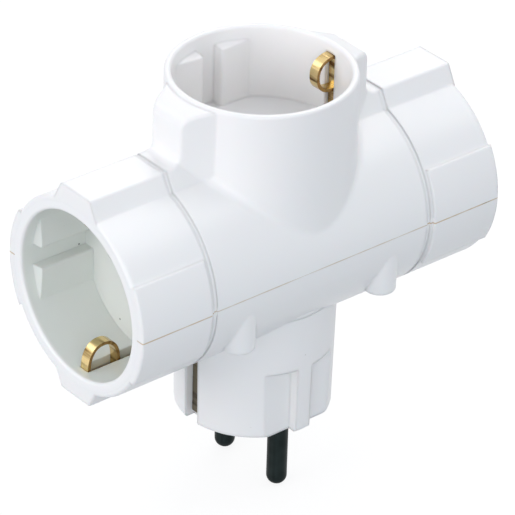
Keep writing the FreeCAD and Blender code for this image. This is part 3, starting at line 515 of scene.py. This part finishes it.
def make_clip(name, material, along, outward, reach, kind):
    """A clip as one bent strip: each ring is the strip's section across its centre line."""
    line = clip_path(reach=reach, **kind)
    ahead = np.gradient(line, axis=0)
    ahead /= np.linalg.norm(ahead, axis=1)[:, None]
    across = np.stack([-ahead[:, 1], ahead[:, 0]], axis=1) * STRIP / 2
    plane = np.array([along, outward], float)
    side = np.cross(plane[0], plane[1]) * CLIP_WIDTH / 2
    front, back = (line + across) @ plane, (line - across) @ plane
    points = np.stack([front + side, front - side, back - side, back + side], axis=1)
    x, y, z = np.moveaxis(points, -1, 0)
    piece = link_sweep(name, x, y, AXIS_HEIGHT + z, False, material)
    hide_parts(name.replace("bent_", ""))


def make_clips(material):
    """The six earth clips: two in each recess, bowed out of the slots in its wall."""
    for side, outward in (("left", (-1, 0, 0)), ("right", (1, 0, 0))):
        for level, along, reach in (("upper", (0, 0, 1), 0.0054), ("lower", (0, 0, -1), 0.0061)):
            make_clip(f"bent_{side}_clip_{level}", material, along, outward, reach, SIDE_CLIP)
        make_clip(f"bent_top_clip_{side}", material, outward, (0, 0, 1), 0.0049, TOP_CLIP)


def make_rim_joint(name, end, material):
    """The line of moulding that closes the gap between a cup's rim and the shell.

    It is a flat ring: a rectangle turned about the barrel's axis.
    """
    turns = np.linspace(0.0, 2 * math.pi, 144, endpoint=False)[:, None]
    inner, outer = CUP_OUTER + JOINT_PLAY, SHELL_INNER - JOINT_PLAY
    radius = np.array([inner, outer, outer, inner])
    below = np.array([JOINT_LOW, JOINT_LOW, JOINT_HIGH, JOINT_HIGH])
    link_sweep(
        name, end * (BARREL_END - below),
        radius * np.cos(turns), AXIS_HEIGHT + radius * np.sin(turns),
        True, material,
    )


def make_seam_fill(name, flank, material):
    """The grime in the joint between the housings: a strip that follows their outline in the joint.

    From the middle out, the outline runs along the barrel, down into the grip's ring and up again,
    and then over the band with its rounded ends. The strip's section is a flat rectangle.
    """
    half = np.array(SEAM_OUTLINE)
    place, depth = np.vstack([half[::-1] * (-1, 1), half]).T[:, :, None]
    inset = np.array([0.0, SEAM_DEPTH, SEAM_DEPTH, 0.0])
    rise = np.array([SEAM_HALF, SEAM_HALF, -SEAM_HALF, -SEAM_HALF])
    link_sweep(
        name, place, flank * (depth - SEAM_SUNK - inset), AXIS_HEIGHT + rise,
        False, material,
    )


def make_neck(name, flank, material):
    """The sliver of moulding that carries the plug's side up to the barrel where it curves away.

    It is an arc of the plug's upper rim, 40 degrees long: a rectangle turned about the plug's axis,
    from just under the rim to inside the barrel's wall.
    """
    turns = np.linspace(-NECK_TURN, NECK_TURN, 25)[:, None]
    radius = np.array([PLUG_RIM, PLUG_RIM, PLUG_RIM - NECK_WALL, PLUG_RIM - NECK_WALL])
    level = PLUG_TOP + np.array([-NECK_DOWN, NECK_UP, NECK_UP, -NECK_DOWN])
    link_sweep(
        name, radius * np.sin(turns), flank * radius * np.cos(turns), level,
        False, material,
    )


def dress(material, *names):
    """Gives CAD nodes a material."""
    for name in names:
        for held in NODES[name].material_slots:
            held.material = material


def dress_nodes():
    """Gives every CAD node the finish of what it is made of, and adds the scene's own pieces."""
    shell = moulded_plastic("abs_shell_white", "#F4F3F2", "#F1F0EF", 0.30, 0.8, 1.1, seam=True)
    # The cup's rim colour is painted light: paler than its wall, as in full light.
    cup = moulded_plastic(
        "urea_cup_white", "#E5E8E3", "#E1E4DF", 0.34, 0.6, 0.5, rim="#F4F3F2",
        flecks=((-0.03506, 0.01979, 0.04387), (-0.0332, 0.00709, 0.02981)),
    )
    inner = moulded_plastic("pbt_carrier_grey", "#DADDDC", "#D2D5D4", 0.45, 0.6, 0.2)
    # Each brass's last colour is its painted dark reflection.
    brass = rolled_brass("rolled_brass_clip", "#E6CC92", "#A88450", "#6B4C22", 0.2, "Y")
    strap = rolled_brass("rolled_brass_strap", "#77705F", "#645D4E", "#4C463B", 0.38, "Z")
    contact = rolled_brass("rolled_brass_contact", "#D2B070", "#A88450", "#7E5E30", 0.3, "Z")
    pin = plated_metal("black_nickel_pin", "#2A3232", "#1C2323", 0.42, 0.9)
    screw = plated_metal("zinc_screw", "#A9ABAC", "#8B8E90", 0.36, 0.0)
    dress(shell, "upper_housing", "lower_housing")
    dress(cup, "left_socket_cup", "right_socket_cup")
    dress(inner, "pin_carrier")
    dress(brass, *[name for name in NODES if "clip" in name])
    make_clips(brass)
    grime = seam_grime("packed_grime")
    for flank, place in ((-1, "front"), (1, "back")):
        make_seam_fill(f"seam_grime_{place}", flank, grime)
        make_neck(f"plug_neck_{place}", flank, shell)
    for end, place in ((-1, "left"), (1, "right")):
        make_rim_joint(f"rim_joint_{place}", end, shell)
    dress(strap, *[name for name in NODES if "strap" in name], "earth_bridge")
    dress(contact, *[name for name in NODES if "busbar" in name or "sleeve" in name])
    dress(pin, "live_pin", "neutral_pin")
    dress(screw, "housing_screws")


def seen_directly(tree):
    """One for rays from the camera, a mirror-like surface or through a clear one, else nothing."""
    rays = add(tree, "ShaderNodeLightPath")
    near = add(tree, "ShaderNodeMath", {
        0: rays.outputs["Is Camera Ray"], 1: rays.outputs["Is Glossy Ray"],
    }, operation="MAXIMUM")
    return add(tree, "ShaderNodeMath", {
        0: near.outputs[0], 1: rays.outputs["Is Transmission Ray"],
    }, operation="MAXIMUM").outputs[0]


def make_floor():
    """Matte white paper under the pins: near white to camera and reflections, otherwise grey."""
    mesh = bpy.data.meshes.new("studio_floor")
    mesh.from_pydata([
        (-FLOOR_REACH, -FLOOR_REACH, FLOOR_LEVEL), (FLOOR_REACH, -FLOOR_REACH, FLOOR_LEVEL),
        (FLOOR_REACH, FLOOR_REACH, FLOOR_LEVEL), (-FLOOR_REACH, FLOOR_REACH, FLOOR_LEVEL),
    ], [], [(0, 1, 2, 3)])
    floor = bpy.data.objects.new("studio_floor", mesh)
    bpy.context.scene.collection.objects.link(floor)
    material, tree, output = new_material("matte_white_paper")
    seen = seen_directly(tree)
    paper = add(tree, "ShaderNodeBsdfDiffuse", {"Color": from_hex("#737373")})
    glow = add(tree, "ShaderNodeEmission", {"Color": WHITE, "Strength": 0.86})
    white = add(tree, "ShaderNodeAddShader", {0: paper.outputs[0], 1: glow.outputs[0]})
    plain = add(tree, "ShaderNodeBsdfDiffuse", {"Color": from_hex("#A6AAAD")})
    skin = add(tree, "ShaderNodeMixShader", {0: seen, 1: plain.outputs[0], 2: white.outputs[0]})
    tree.links.new(skin.outputs[0], output.inputs["Surface"])
    mesh.materials.append(material)


def make_light():
    """A soft studio: a cool dome, and large lamps all round, the strongest at left and behind."""
    world = bpy.data.worlds.new("studio")
    bpy.context.scene.world = world
    world.use_nodes = True
    tree = world.node_tree
    tree.nodes.clear()
    seen = seen_directly(tree)
    lit = add(tree, "ShaderNodeBackground", {"Color": DOME_COLOUR, "Strength": DOME_STRENGTH})
    white = add(tree, "ShaderNodeBackground", {"Color": WHITE, "Strength": 1.0})
    mixed = add(tree, "ShaderNodeMixShader", {0: seen, 1: lit.outputs[0], 2: white.outputs[0]})
    output = add(tree, "ShaderNodeOutputWorld")
    tree.links.new(mixed.outputs[0], output.inputs["Surface"])
    for name, place, power, colour in LAMPS:
        light = bpy.data.lights.new(name, "AREA")
        light.shape = "DISK"
        light.size = LAMP_WIDTH
        light.energy = power
        light.color = colour
        lamp = bpy.data.objects.new(name, light)
        bpy.context.scene.collection.objects.link(lamp)
        lamp.location = place
        aim = Vector(LAMP_AIM) - Vector(place)
        lamp.rotation_euler = aim.to_track_quat("-Z", "Y").to_euler()


def make_camera():
    """The photograph's camera, off from the axes' crossing by its distance and two offsets."""
    bearing, height, roll = map(math.radians, (CAMERA_BEARING, CAMERA_HEIGHT, CAMERA_ROLL))
    offset_x, offset_y = (
        (seen_at - PHOTO_WIDTH / 2) / LENS_PIXELS * CAMERA_DISTANCE for seen_at in AXES_CROSSING
    )
    level = Vector((math.sin(bearing), math.cos(bearing), 0.0))
    forward = math.cos(height) * level + Vector((0.0, 0.0, -math.sin(height)))
    right = Vector((math.cos(bearing), -math.sin(bearing), 0.0))
    up = right.cross(forward)
    turned_right = math.cos(roll) * right + math.sin(roll) * up
    turned_up = -math.sin(roll) * right + math.cos(roll) * up
    centre = Vector((0.0, 0.0, AXIS_HEIGHT))
    place = centre - offset_x * turned_right + offset_y * turned_up - CAMERA_DISTANCE * forward
    camera_data = bpy.data.cameras.new("photo_camera")
    camera_data.sensor_width = SENSOR_WIDTH
    camera_data.lens = LENS_PIXELS / PHOTO_WIDTH * SENSOR_WIDTH
    camera = bpy.data.objects.new("photo_camera", camera_data)
    bpy.context.scene.collection.objects.link(camera)
    turn = Matrix((turned_right, turned_up, -forward)).transposed()
    camera.matrix_world = Matrix.Translation(place) @ turn.to_4x4()
    bpy.context.scene.camera = camera


dress_nodes()
make_floor()
make_light()
make_camera()
bpy.context.scene.view_settings.view_transform = "Standard"
